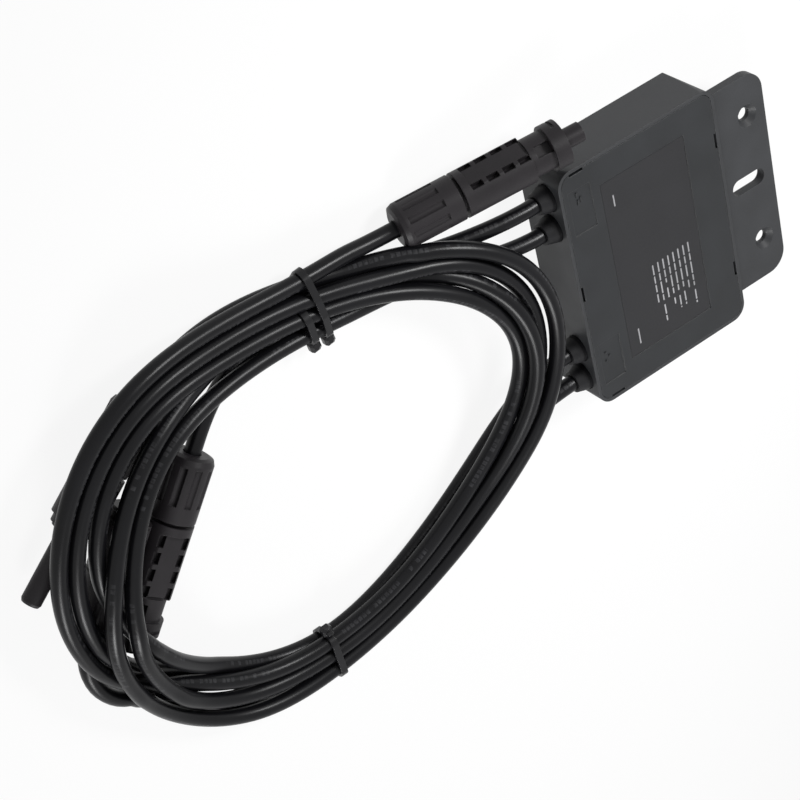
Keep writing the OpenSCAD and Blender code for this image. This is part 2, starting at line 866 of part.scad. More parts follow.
con_clamp_ring(con_input_a);  // input_a_clamp_ring
con_contact(con_input_a, tip_long);  // input_a_contact
con_nut(con_input_b);  // input_b_nut
collar_body(con_input_b);  // input_b_body
con_seal(con_input_b);  // input_b_seal
con_clamp_ring(con_input_b);  // input_b_clamp_ring
con_contact(con_input_b, tip_short);  // input_b_contact
con_nut(con_output_a);  // output_a_nut
collar_body(con_output_a);  // output_a_body
con_seal(con_output_a);  // output_a_seal
con_clamp_ring(con_output_a);  // output_a_clamp_ring
con_contact(con_output_a, tip_short);  // output_a_contact
con_nut(con_output_b);  // output_b_nut
plug_body(con_output_b);  // output_b_body
con_seal(con_output_b);  // output_b_seal
con_clamp_ring(con_output_b);  // output_b_clamp_ring
con_contact(con_output_b, tip_long);  // output_b_contact
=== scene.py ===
"""Looks of a power optimizer with four coiled cables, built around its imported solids.

The scene is in metres, in the frame of the solids. The camera's place, the cables, ties, print and marks
are written in millimetres and scaled by MM.
"""
import json

import bmesh
import bpy
import numpy as np
from mathutils import Matrix, Vector


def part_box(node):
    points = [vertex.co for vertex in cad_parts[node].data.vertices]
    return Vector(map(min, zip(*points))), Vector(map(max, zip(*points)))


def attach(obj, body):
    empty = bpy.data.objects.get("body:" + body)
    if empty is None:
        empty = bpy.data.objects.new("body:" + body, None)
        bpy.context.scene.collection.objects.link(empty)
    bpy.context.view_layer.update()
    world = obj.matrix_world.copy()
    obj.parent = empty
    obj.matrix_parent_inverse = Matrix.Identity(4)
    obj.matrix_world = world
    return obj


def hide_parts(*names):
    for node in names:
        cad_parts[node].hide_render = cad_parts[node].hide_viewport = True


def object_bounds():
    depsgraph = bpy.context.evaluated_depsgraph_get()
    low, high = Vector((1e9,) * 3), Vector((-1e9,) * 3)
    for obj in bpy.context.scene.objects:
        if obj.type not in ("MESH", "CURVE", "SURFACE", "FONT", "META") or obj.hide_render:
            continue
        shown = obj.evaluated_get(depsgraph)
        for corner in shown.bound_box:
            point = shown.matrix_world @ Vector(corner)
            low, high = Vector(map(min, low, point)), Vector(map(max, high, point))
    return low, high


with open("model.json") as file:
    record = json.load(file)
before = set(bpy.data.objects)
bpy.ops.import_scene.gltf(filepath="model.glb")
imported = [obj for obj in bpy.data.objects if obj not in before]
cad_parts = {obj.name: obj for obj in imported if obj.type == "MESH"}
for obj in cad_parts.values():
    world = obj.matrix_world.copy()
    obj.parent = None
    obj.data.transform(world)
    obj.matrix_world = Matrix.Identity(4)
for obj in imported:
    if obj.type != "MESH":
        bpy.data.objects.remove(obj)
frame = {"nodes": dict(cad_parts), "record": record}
CAD_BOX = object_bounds()
NODES = frame["nodes"]
MM = 0.001


def add_object(name, data):
    thing = bpy.data.objects.new(name, data)
    bpy.context.scene.collection.objects.link(thing)
    return thing


# Camera: place, turn and focal length found from the housing's corners in the photograph

IMAGE_PX = 800
FOCAL_PX = 2309.25
SENSOR_MM = 36
CAMERA_PLACE = Vector((-405.28, 467.92, 585.95)) * MM
CAMERA_TURN = Vector((-2.44103, 0.52263, -0.70508))  # rotation vector, from this frame to the camera's


def make_camera():
    data = bpy.data.cameras.new("camera")
    data.sensor_width = SENSOR_MM
    data.lens = SENSOR_MM * FOCAL_PX / IMAGE_PX
    to_camera = Matrix.Rotation(CAMERA_TURN.length, 3, CAMERA_TURN.normalized())
    # The calibration looks along +z with y down, and Blender's camera along -z with y up
    pose = (Matrix.Diagonal((1, -1, -1)) @ to_camera).transposed().to_4x4()
    camera = add_object("camera", data)
    camera.matrix_world = Matrix.Translation(CAMERA_PLACE) @ pose
    bpy.context.scene.camera = camera


# Cables: each runs from its exit through lanes of the coil to its connector, in millimetres

CABLE_D = 6.0
CABLE_RESOLUTION = 6   # Blender's count for the roundness of a curve's section
LINE_STEP = 3.0        # spacing of the points along a cable
LINE_GAP = 0.12        # least room between two cables that lie on each other
FLOOR_GAP = 0.02       # least room between the floor and what lies on it
HELD_START = 5         # points of each cable that stay in line with its exit

# How the cables settle: what each round does, as shares of the way or of the bend
RELAX_ROUNDS = 320
HOME_PULL = 0.03       # back towards the route
STIFFNESS = 0.05       # against bending
STIFF_REACH = (4, 2, 1, 1)  # how many points apart the bend is taken, step by step
CABLE_PUSH = 0.35      # away from another cable
ROD_PUSH = 0.6         # away from a connector
OWN_REACH = 24.0       # a cable's own points nearer than this along it don't push each other
NEAR_REACH = 2 * CABLE_D  # points nearer than this are watched as neighbours
NEAR_ROUNDS = 8        # rounds between two searches for neighbours
LEAST_DISTANCE = 1e-6  # keeps two points in one place from dividing by zero

# Middle of the bundle at each station round the coil, anticlockwise from above
STATIONS = {
    "right_top": (-62, 18), "top_right": (-84, 36), "top_bend": (-104, 42), "top_tie": (-129, 46.5),
    "top_mid": (-150, 49.5), "top_left": (-171, 51), "left_top": (-200, 48), "left_up": (-222, 33),
    "left": (-235, 4), "left_low": (-234, -28), "low_turn": (-226, -49), "bottom_left": (-212, -69),
    "bottom": (-190, -84), "low_tie": (-161, -91), "bottom_mid": (-122, -84), "low_right": (-86, -60),
    "right_low": (-62, -31), "right": (-55, -6),
}

# Each cable: where it leaves the housing, its route, how many points at its end stay in place, the solids
# that it stands for, and the connector on its end. A stop of a route is a lane (station, distance outward,
# height), or a point (x, y, z) where the lanes don't fit its way.
CABLES = {
    "input_cable_a": {
        "exit": (-36, 39.1, 15.5),
        "route": [
            (-33, 39.1, 15.5), (-42, 39.1, 15.5), (-50, 39, 15.4), (-66, 39.5, 12.6), (-86, 39.8, 8.6),
            ("top_bend", 0.5, 4.8), ("top_tie", 0, 4.75), ("top_mid", -2, 4), ("top_left", -7.5, 8),
            ("left_top", -5.5, 20), ("left_up", -7, 21.8), (-231.4, 6, 23.6), (-240.2, -15, 25.2),
            (-240.8, -28, 22.4), (-238, -42, 17.6), (-232, -59, 12.6), (-222, -76.6, 9.8),
            ("bottom", 13.4, 9), ("low_tie", 6.4, 10), ("bottom_mid", 6.5, 8.7), ("low_right", 4.8, 15.4),
            ("right_low", 5, 22.2), ("right", 7.6, 23.2), ("right_top", 10, 22.6), ("top_right", 9.6, 18),
            (-96, 47.6, 12.6), (-106, 49.4, 9), ("top_tie", 6.1, 4.75), ("top_mid", 6.8, 3.6),
            (-170, 56.5, 4.6), (-182, 55, 6), (-191, 51.8, 7.6), (-199.3, 47.7, 8.4), (-205.5, 42.7, 8.4)],
        "held_end": 4,
        "nodes": ("input_lead_a", "input_tail_a", "cable_coil"),
        "connector": "input_a",
    },
    "input_cable_b": {
        "exit": (-36, 26.5, 15.5),
        "route": [
            (-33, 26.5, 15.5), (-42, 26.5, 15.5), (-50, 26.8, 15.4), (-66, 28.5, 12.4), (-86, 31, 7),
            ("top_bend", -10, 5.5), ("top_tie", -9.2, 10), ("top_mid", -11.5, 9.2),
            ("top_left", -14.2, 11.5), ("left_top", -11.6, 20), ("left_up", -14, 21), ("left", -10.8, 22),
            (-229.8, -10, 23), (-232.6, -24, 23.4), (-230.4, -38, 19.6), (-224.8, -54, 14.4),
            (-213.8, -74, 10.2), ("bottom", 4.6, 9), ("low_tie", -0.2, 10), ("bottom_mid", 0.4, 8.7),
            ("low_right", 0.3, 14), ("right_low", -3, 22.8), ("right", -2.7, 24.4),
            ("right_top", -4.2, 20.6), ("top_right", -2.4, 12.6), ("top_bend", -3.5, 6.4),
            ("top_tie", -6.1, 4.75), ("top_mid", -8.4, 3.6), (-162, 38.6, 4), (-173, 34.5, 6),
            (-181, 27, 8), (-187, 19.5, 8.4), (-191.9, 13.2, 8.4)],
        "held_end": 4,
        "nodes": ("input_lead_b", "input_tail_b"),
        "connector": "input_b",
    },
    "output_cable_a": {
        "exit": (-36, -26.5, 15.5),
        "route": [
            (-33, -26.5, 15.5), (-42, -26.5, 15.5), (-49, -27.1, 15.2), (-58.5, -32.4, 12.2),
            (-68, -42.6, 7), ("low_right", -0.8, 4), ("bottom_mid", -5, 3.5), ("low_tie", -3.2, 4.75),
            ("bottom", -3.6, 3.4), (-209.4, -62.8, 8.4), (-218.8, -48.2, 14.8), (-226.2, -34, 18.6),
            (-231.8, -22.5, 20), (-235.8, -10, 20.2), ("left", 0.6, 20.2), ("left_up", 1.5, 21),
            ("left_top", 2.2, 20), ("top_left", -3.6, 13), ("top_mid", -4, 9.4), ("top_tie", -3.1, 10),
            ("top_bend", -4.2, 12.2), ("top_right", -5.4, 15.4), ("right_top", -7.6, 18.6),
            ("right", -5.4, 19), ("right_low", -5.8, 18), ("low_right", -6.3, 12.5),
            ("bottom_mid", -5.8, 9.4), ("low_tie", -5.8, 10), ("bottom", -1.9, 9.2),
            ("bottom_left", -3, 9.4), (-228.4, -55, 12.4), (-238, -45.4, 13.6), (-245.6, -31.2, 15.8),
            (-249.6, -14, 18.6), ("left", 15, 20), ("left_up", 14.2, 21), ("left_top", 14.2, 20),
            ("top_left", 9.5, 12.4), ("top_mid", 8.9, 9), ("top_tie", 9.2, 10), (-115.4, 56, 8.2),
            (-106.8, 55.2, 7.3), (-98.5, 54.6, 7.3), (-92.2, 54.9, 7.8), (-84.4, 55.6, 9.3)],
        "held_end": 4,
        "nodes": ("output_lead_a", "output_tail_a"),
        "connector": "output_a",
    },
    "output_cable_b": {
        "exit": (-36, -39.1, 15.5),
        "route": [
            (-33, -39.1, 15.5), (-42, -39.1, 15.5), (-49, -40, 15), (-60, -46, 10.5), (-73, -55, 6),
            ("low_right", 5, 3.4), ("bottom_mid", 0.8, 3.4), ("low_tie", 3, 4.75), ("bottom", 5.6, 3.2),
            ("bottom_left", -2.4, 3.8), (-231.5, -45.5, 10), (-239.5, -35, 14), (-245, -17, 18.6),
            ("left", 9.2, 20.2), ("left_up", 7.8, 21), ("left_top", 8.3, 20), ("top_left", 3.6, 13.4),
            ("top_mid", 2.8, 9.6), ("top_tie", 3.1, 10), ("top_bend", 2.6, 12.8), ("top_right", 3.4, 15.6),
            ("right_top", 3.6, 18.8), ("right", 2.6, 19), ("right_low", 1.6, 18), ("low_right", 8.6, 8.2),
            ("bottom_mid", 7, 3.6), ("low_tie", 9.6, 4.75), ("bottom", 14.2, 3.4), ("bottom_left", 6, 4.2),
            (-224.5, -65.4, 5.6), (-235.3, -59.2, 6.8), (-241.1, -54.5, 7.6), (-245.2, -48.2, 8.1),
            (-247.2, -40.9, 8.4), (-246.8, -33.4, 8.4), (-244.5, -27.1, 8.4), (-242.2, -23.6, 8.4),
            (-237.3, -17.3, 8.4)],
        "held_end": 17,
        "nodes": ("output_lead_b", "output_tail_b"),
        "connector": "output_b",
    },
}

# Room that the connectors take: each is two rods, a thick stretch and a nose, that the cables lie clear of
CONNECTOR_R = 8.4
NOSE_R = 3.6
NUT_SHOULDER = 6.0             # the nut's rounded rear end, where a cable may lie closer
PLUG_LENGTHS = (46.9, 73.9)    # from the rear end to the end of the thick stretch, and to the tip
COLLAR_LENGTHS = (64.7, 72.4)
# Each connector: its rear end, heading and tilt in degrees, and lengths
CONNECTOR_RODS = {
    "input_a": ((-199.3, 47.7, 8.4), 219, 0, PLUG_LENGTHS),
    "input_b": ((-187, 19.5, 8.4), 232, 0, COLLAR_LENGTHS),
    "output_a": ((-92.2, 54.9, 7.8), 4.95, 11.3, COLLAR_LENGTHS),
    "output_b": ((-242.2, -23.6, 8.4), 52, 0, PLUG_LENGTHS),
}


def outward_normals():
    """Middle and outward direction of the bundle at each station."""
    middle = np.array(list(STATIONS.values()), float)
    along = np.roll(middle, -1, axis=0) - np.roll(middle, 1, axis=0)
    normal = np.stack([along[:, 1], -along[:, 0]], axis=1)
    normal /= np.linalg.norm(normal, axis=1)[:, None]
    return {name: (middle[i], normal[i]) for i, name in enumerate(STATIONS)}


def route_points(route):
    """The route with each lane turned into a point."""
    places = outward_normals()
    points = []
    for first, second, third in route:
        if first in places:
            middle, normal = places[first]
            points.append((*(middle + second * normal), third))
        else:
            points.append((first, second, third))
    return np.array(points, float)


def smooth_line(points, parts=12):
    """A curve through the points, with each tangent as long as its own span."""
    line = []
    for i in range(len(points) - 1):
        here, there = points[i], points[i + 1]
        span = np.linalg.norm(there - here)
        leave = there - points[max(i - 1, 0)]
        arrive = points[min(i + 2, len(points) - 1)] - here
        leave = leave / np.linalg.norm(leave) * span
        arrive = arrive / np.linalg.norm(arrive) * span
        for t in np.arange(parts) / parts:
            line.append((2 * t**3 - 3 * t**2 + 1) * here + (t**3 - 2 * t**2 + t) * leave
                        + (3 * t**2 - 2 * t**3) * there + (t**3 - t**2) * arrive)
    return np.array(line + [points[-1]])


def line_length(line):
    return float(np.linalg.norm(np.diff(line, axis=0), axis=1).sum())


def even_steps(line):
    """The line with its points about LINE_STEP apart."""
    run = np.concatenate([[0], np.cumsum(np.linalg.norm(np.diff(line, axis=0), axis=1))])
    marks = np.linspace(0, run[-1], int(round(run[-1] / LINE_STEP)) + 1)
    return np.stack([np.interp(marks, run, line[:, k]) for k in range(3)], axis=1)


def connector_rods():
    """Start, end and radius of each connector's thick stretch and of its nose."""
    rods = []
    for rear, heading, tilt, (thick, whole) in CONNECTOR_RODS.values():
        turn, rise = np.radians(heading), np.radians(tilt)
        ahead = np.array([np.cos(rise) * np.cos(turn), np.cos(rise) * np.sin(turn), np.sin(rise)])
        rear = np.array(rear)
        rods.append((rear + NUT_SHOULDER * ahead, rear + thick * ahead, CONNECTOR_R))
        rods.append((rear + thick * ahead, rear + whole * ahead, NOSE_R))
    return rods


def push_off_rods(points, rods, free):
    for start, end, radius in rods:
        axis = end - start
        share = np.clip((points - start) @ axis / (axis @ axis), 0, 1)
        away = points - (start + share[:, None] * axis)
        distance = np.linalg.norm(away, axis=1)
        need = radius + CABLE_D / 2 + LINE_GAP
        near = (distance < need) & free
        points[near] += ROD_PUSH * ((need - distance[near]) / distance[near])[:, None] * away[near]


def stiffen(points, spans, n):
    """One step of each cable's resistance to bending, between points that are n apart."""
    for start, end in spans:
        q = points[start:end]
        # The fourth difference along the cable is nothing where it bends evenly
        bend = q[:-4 * n] - 4 * q[n:-3 * n] + 6 * q[2 * n:-2 * n] - 4 * q[3 * n:-n] + q[4 * n:]
        points[start + 2 * n:end - 2 * n] -= STIFFNESS * bend


def neighbours(points, cable):
    """Pairs of points that may push each other: near, and not next to each other on one cable."""
    index = np.arange(len(points))
    near = ((points[:, None] - points[None]) ** 2).sum(axis=2) < NEAR_REACH ** 2
    apart = np.abs(index[:, None] - index[None]) * LINE_STEP > OWN_REACH
    return np.nonzero(near & ((cable[:, None] != cable[None]) | apart))


def settle(lines, held_ends):
    """Lets the cables push each other, the connectors and the floor apart, and stay smooth.

    The first points of each cable and the given number of last ones stay in place.
    """
    first = np.cumsum([0] + [len(line) for line in lines])
    spans = list(zip(first[:-1], first[1:]))
    points = np.concatenate(lines)
    home = points.copy()
    cable = np.concatenate([np.full(len(line), k) for k, line in enumerate(lines)])
    free = np.ones(len(points), bool)
    for (start, end), held in zip(spans, held_ends):
        free[start:start + HELD_START] = False
        free[end - held:end] = False
    rods = connector_rods()
    for n in range(RELAX_ROUNDS):
        if n % NEAR_ROUNDS == 0:
            i, j = neighbours(points, cable)
        points += HOME_PULL * (home - points)
        for reach in STIFF_REACH:
            stiffen(points, spans, reach)
        away = points[i] - points[j]
        distance = np.maximum(np.linalg.norm(away, axis=1), LEAST_DISTANCE)
        lack = np.maximum(CABLE_D + LINE_GAP - distance, 0) / distance
        np.add.at(points, i, CABLE_PUSH * lack[:, None] * away)
        push_off_rods(points, rods, free)
        points[:, 2] = np.maximum(points[:, 2], CABLE_D / 2 + FLOOR_GAP)
        points[~free] = home[~free]
    return [points[start:end] for start, end in spans]


def make_cable(name, line):
    curve = bpy.data.curves.new(name, "CURVE")
    curve.dimensions = "3D"
    curve.twist_mode = "Z_UP"
    curve.bevel_depth = CABLE_D / 2 * MM
    curve.bevel_resolution = CABLE_RESOLUTION
    curve.use_fill_caps = True
    spline = curve.splines.new("POLY")
    spline.points.add(len(line) - 1)
    for point, place in zip(spline.points, line):
        point.co = (*(place * MM), 1)
    spline.use_smooth = True
    return add_object(name, curve)


def make_cables():
    """Makes the four cables and returns their lines."""
    lines = [even_steps(smooth_line(route_points(c["route"]))) for c in CABLES.values()]
    lines = settle(lines, [c["held_end"] for c in CABLES.values()])
    for (name, cable), line in zip(CABLES.items(), lines):
        length = line_length(line)
        piece = make_cable(name, line)
        piece.data.materials.append(jacket_material(name + "_jacket", length))
        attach(piece, "root")
        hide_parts(*cable["nodes"])
    return lines


# Cable ties: a strap drawn tight round the cables that pass through it, with its head on the inner side

TIE_W = 2.6
TIE_T = 1.0
TIE_SLACK = 0.05
STRAP_INNER = CABLE_D / 2 + TIE_SLACK  # from the middle of a cable to the strap's inner face
TIE_ROUND = 64                         # points round the strap
TIE_HIGHEST = 18.0                     # cables above this height pass over the tie
HEAD_SIZE = (4.2, 4.4, 3.8)            # along the cables, inward, upright
HEAD_EDGE = 0.9
TAIL_SIZE = (2.4, 1.0, 2.6)            # the strap's cut end, standing up out of the head
TAIL_EDGE = 0.2
TAIL_AT = (2.6, 2.4)                   # inward and up from where the head meets the strap
# Each tie: x and y of the middle of what it holds, the way that the cables run, half its width,
# and whether its cut end stands out of the head
TIES = {
    "upper_tie_a": (-129.8, 46.5, 7, 15, False),
    "upper_tie_b": (-135, 41.4, 7, 6.6, False),
    "lower_tie": (-161, -92, 181.7, 15, True),
}


def crossings(lines, place, along, outward, reach):
    """Where the cables pass through a tie's plane, as distances outward and heights."""
    found = []
    for line in lines:
        ahead = (line - place) @ along
        for k in np.nonzero(ahead[:-1] * ahead[1:] < 0)[0]:
            share = ahead[k] / (ahead[k] - ahead[k + 1])
            point = line[k] + share * (line[k + 1] - line[k])
            side = (point - place) @ outward
            if abs(side) < reach and point[2] < TIE_HIGHEST:
                found.append((side, point[2]))
    return np.array(found)


def wrap(centres, radius):
    """The tight loop round equal circles, as points at even turns."""
    turns = np.linspace(0, 2 * np.pi, TIE_ROUND, endpoint=False)
    ways = np.stack([np.cos(turns), np.sin(turns)], axis=1)
    furthest = np.argmax(ways @ centres.T, axis=1)
    return centres[furthest] + radius * ways


def join_rings(shape, ring, after):
    for k in range(len(ring)):
        n = (k + 1) % len(ring)
        shape.faces.new((ring[k], ring[n], after[n], after[k]))


def add_block(shape, middle, axes, size, edge):
    """A block with all its edges cut back, along the given axes, in millimetres."""
    half = [v / 2 for v in size]
    rings = []
    for up, back in ((-half[2], edge), (-half[2] + edge, 0), (half[2] - edge, 0), (half[2], edge)):
        a, b = half[0] - back, half[1] - back
        outline = [(a - edge, -b), (a, edge - b), (a, b - edge), (a - edge, b),
                   (edge - a, b), (-a, b - edge), (-a, edge - b), (edge - a, -b)]
        points = [middle + axes[0] * u + axes[1] * v + axes[2] * up for u, v in outline]
        rings.append([shape.verts.new(point * MM) for point in points])
    for ring, after in zip(rings, rings[1:]):
        join_rings(shape, ring, after)
    shape.faces.new(rings[0])
    shape.faces.new(rings[-1])


def add_strap(shape, place, along, outward, held):
    inside, outside = wrap(held, STRAP_INNER), wrap(held, STRAP_INNER + TIE_T)
    rings = []
    for loop, side in ((inside, -1), (outside, -1), (outside, 1), (inside, 1)):
        # Where the cables lie low, the strap is pressed flat between them and the floor
        heights = np.maximum(loop[:, 1], FLOOR_GAP)
        edge = place + side * TIE_W / 2 * along
        points = [edge + out * outward + np.array([0, 0, up]) for out, up in zip(loop[:, 0], heights)]
        rings.append([shape.verts.new(point * MM) for point in points])
    for ring, after in zip(rings, rings[1:] + rings[:1]):
        join_rings(shape, ring, after)


def add_head(shape, place, along, outward, held, tail):
    """The tie's head beside its innermost cable, and the cut end of the strap where it shows."""
    innermost = held[:, 0].min() - STRAP_INNER
    height = held[held[:, 0].argmin(), 1]
    axes = [Vector(along), Vector(-outward), Vector((0, 0, 1))]
    base = Vector(place + innermost * outward) + Vector((0, 0, height))
    add_block(shape, base + axes[1] * HEAD_SIZE[1] / 2, axes, HEAD_SIZE, HEAD_EDGE)
    if tail:
        add_block(shape, base + axes[1] * TAIL_AT[0] + axes[2] * TAIL_AT[1], axes, TAIL_SIZE, TAIL_EDGE)


def make_tie(node, lines, material):
    x, y, heading, reach, tail = TIES[node]
    turn = np.radians(heading)
    along = np.array([np.cos(turn), np.sin(turn), 0])
    outward = np.array([-np.sin(turn), np.cos(turn), 0])
    place = np.array([x, y, 0])
    held = crossings(lines, place, along, outward, reach)
    shape = bmesh.new()
    add_strap(shape, place, along, outward, held)
    add_head(shape, place, along, outward, held, tail)
    bmesh.ops.recalc_face_normals(shape, faces=shape.faces)
    mesh = bpy.data.meshes.new(node + "_drawn")
    shape.to_mesh(mesh)
    shape.free()
    mesh.materials.append(material)
    piece = add_object(node + "_drawn", mesh)
    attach(piece, "root")
    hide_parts(node)


# Materials

NOISE_RANGE = (0.3, 0.7)     # most noise values lie between these
BEVEL_SAMPLES = 4
# Places of a mix node's colour sockets among those that it keeps for other kinds of data
MIX_SHARE, MIX_FIRST, MIX_SECOND = 0, 6, 7
MIX_RESULT = 2


class ShaderNodes:
    """Short ways to add and join shader nodes in one material."""

    def __init__(self, material):
        material.use_nodes = True
        self.tree = material.node_tree
        self.shader = self.tree.nodes["Principled BSDF"]

    def add(self, kind, **settings):
        node = self.tree.nodes.new(kind)
        for key, value in settings.items():
            setattr(node, key, value)
        return node

    def join(self, out, into):
        self.tree.links.new(out, into)

    def math(self, operation, first, second=None):
        node = self.add("ShaderNodeMath", operation=operation)
        for socket, value in zip(node.inputs, (first, second)):
            if isinstance(value, (int, float)):
                socket.default_value = value
            elif value is not None:
                self.join(value, socket)
        return node.outputs[0]

    def noise(self, size_mm, detail=3):
        """Noise with features of about that size, fixed to the object."""
        place = self.add("ShaderNodeTexCoord")
        noise = self.add("ShaderNodeTexNoise")
        noise.inputs["Scale"].default_value = 1 / (size_mm * MM)
        noise.inputs["Detail"].default_value = detail
        self.join(place.outputs["Object"], noise.inputs["Vector"])
        return noise.outputs["Fac"]

    def spread(self, value, low, high):
        """A noise value stretched over a range."""
        node = self.add("ShaderNodeMapRange")
        node.inputs["From Min"].default_value = NOISE_RANGE[0]
        node.inputs["From Max"].default_value = NOISE_RANGE[1]
        node.inputs["To Min"].default_value = low
        node.inputs["To Max"].default_value = high
        self.join(value, node.inputs["Value"])
        return node.outputs["Result"]

    def mix(self, share, first, second):
        node = self.add("ShaderNodeMix", data_type="RGBA")
        for place, value in ((MIX_SHARE, share), (MIX_FIRST, first), (MIX_SECOND, second)):
            socket = node.inputs[place]
            if isinstance(value, (int, float)):
                socket.default_value = value
            elif isinstance(value, tuple):
                socket.default_value = (*value, 1)
            else:
                self.join(value, socket)
        return node.outputs[MIX_RESULT]

    def bump(self, height, depth_mm, edge_mm=0.0):
        """Bump of that depth, over edges that look rounded by edge_mm."""
        bump = self.add("ShaderNodeBump")
        bump.inputs["Strength"].default_value = 1.0
        bump.inputs["Distance"].default_value = depth_mm * MM
        self.join(height, bump.inputs["Height"])
        if edge_mm:
            bevel = self.add("ShaderNodeBevel", samples=BEVEL_SAMPLES)
            bevel.inputs["Radius"].default_value = edge_mm * MM
            self.join(bevel.outputs["Normal"], bump.inputs["Normal"])
        self.join(bump.outputs["Normal"], self.shader.inputs["Normal"])


def scaled(colour, factor):
    return tuple(min(1.0, c * factor) for c in colour)


PATCH_MM = 14          # size of the cloudy patches of colour and gloss
ROUGH_SPREAD = 0.05    # how far the patches change the roughness either way
GRAIN_SHARE = 0.35     # how much of the lighter tone the grain shows at most
GRAIN_TONE = 1.6       # that tone, as a multiple of the colour

# Surfaces by material slot, and the label's ink: colour, roughness, size and depth of the grain in
# millimetres, and what is unlike the usual values in surface()
SURFACES = {
    "housing_plastic": ((0.022, 0.023, 0.025), 0.5, 0.5, 0.02, {"edge_mm": 0.45}),
    "lid_plastic": ((0.0125, 0.0135, 0.015), 0.46, 0.45, 0.02, {"edge_mm": 0.55, "specular": 0.28}),
    "label_film": ((0.012, 0.012, 0.0135), 0.42, 0.9, 0.004,
                   {"edge_mm": 0.0, "cloud": 0.08, "specular": 0.27}),
    "print_ink": ((0.26, 0.26, 0.27), 0.55, 0.35, 0.004, {"edge_mm": 0.0, "cloud": 0.25}),
    "gasket_rubber": ((0.008, 0.008, 0.009), 0.5, 0.6, 0.015, {"specular": 0.16}),
    "cable_jacket": ((0.017, 0.017, 0.019), 0.42, 0.5, 0.012, {"edge_mm": 0.0}),
    "connector_plastic": ((0.0135, 0.012, 0.0135), 0.44, 0.4, 0.03, {"edge_mm": 0.4, "specular": 0.19}),
    "clamp_plastic": ((0.12, 0.12, 0.12), 0.5, 0.5, 0.01, {}),
    "tie_plastic": ((0.006, 0.006, 0.007), 0.3, 0.6, 0.01, {"specular": 0.24}),
    "board_laminate": ((0.03, 0.16, 0.07), 0.35, 0.4, 0.01, {}),
    "ferrite": ((0.08, 0.08, 0.085), 0.7, 0.3, 0.03, {}),
    "winding_copper": ((0.6, 0.28, 0.12), 0.28, 0.8, 0.01, {"metal": 1.0}),
    "capacitor_film": ((0.4, 0.36, 0.2), 0.45, 0.6, 0.01, {}),
    "chip_resin": ((0.04, 0.04, 0.04), 0.6, 0.3, 0.01, {}),
    "terminal_brass": ((0.7, 0.55, 0.22), 0.3, 0.5, 0.005, {"metal": 1.0}),
    "contact_metal": ((0.7, 0.7, 0.66), 0.3, 0.5, 0.005, {"metal": 1.0}),
    "screw_steel": ((0.55, 0.55, 0.56), 0.32, 0.4, 0.005, {"metal": 1.0}),
}


def surface(name, colour, rough, grain_mm, grain_depth_mm, edge_mm=0.3, cloud=0.2, metal=0.0, specular=0.3):
    """A worked surface: cloudy colour and gloss, fine grain and edges that catch the light."""
    material = bpy.data.materials.new(name)
    nodes = ShaderNodes(material)
    nodes.shader.inputs["Metallic"].default_value = metal
    nodes.shader.inputs["Specular IOR Level"].default_value = specular
    patches = nodes.noise(PATCH_MM)
    grain = nodes.noise(grain_mm)
    tone = nodes.mix(nodes.spread(patches, 0.0, 1.0), scaled(colour, 1 - cloud), scaled(colour, 1 + cloud))
    tone = nodes.mix(nodes.spread(grain, 0.0, GRAIN_SHARE), tone, scaled(colour, GRAIN_TONE))
    nodes.join(tone, nodes.shader.inputs["Base Color"])
    gloss = nodes.spread(patches, rough - ROUGH_SPREAD, rough + ROUGH_SPREAD)
    nodes.join(gloss, nodes.shader.inputs["Roughness"])
    nodes.bump(grain, grain_depth_mm, edge_mm)
    return material


def make_surfaces():
    made = {}
    for name, (colour, rough, grain_mm, grain_depth_mm, unlike) in SURFACES.items():
        made[name] = surface(name, colour, rough, grain_mm, grain_depth_mm, **unlike)
    return made


def dress_nodes(surfaces):
    for subpart in frame["record"]["subparts"]:
        data = NODES[subpart["node"]].data
        data.materials.clear()
        data.materials.append(surfaces[subpart["material_slot"]])


# Jacket of the drawn cables, with a broken line of blocks in place of its printing

JACKET_COLOUR = (0.005, 0.005, 0.006)
JACKET_TONES = (0.85, 1.2)   # darkest and lightest patch, as multiples of the colour
JACKET_ROUGH = (0.27, 0.34)
JACKET_SPECULAR = 0.16
JACKET_PATCH_MM = 18
JACKET_GRAIN_MM = 0.5
JACKET_GRAIN_DEPTH_MM = 0.012
PRINT_CELL_MM = 1.9          # one letter-sized block of the printing along a cable
PRINT_FILL = 0.72            # part of its cell that a block fills
PRINT_BARE = 0.2             # part of the cells that stay empty
PRINT_RUN_MM = 74            # the printing comes round again after this length
PRINT_SHARE = 0.62           # part of the run that is printed
PRINT_BAND = 0.085           # width of the printed band, as a share of the way round
PRINT_SIDE = 0.30            # where the band lies on the way round
PRINT_TONE = (0.05, 0.05, 0.054)
WEAR_MM = 1.2                # size of the worn spots in the printing
WEAR_LEFT = (0.05, 0.7)      # how much of the printing is left, where it is worn most and least


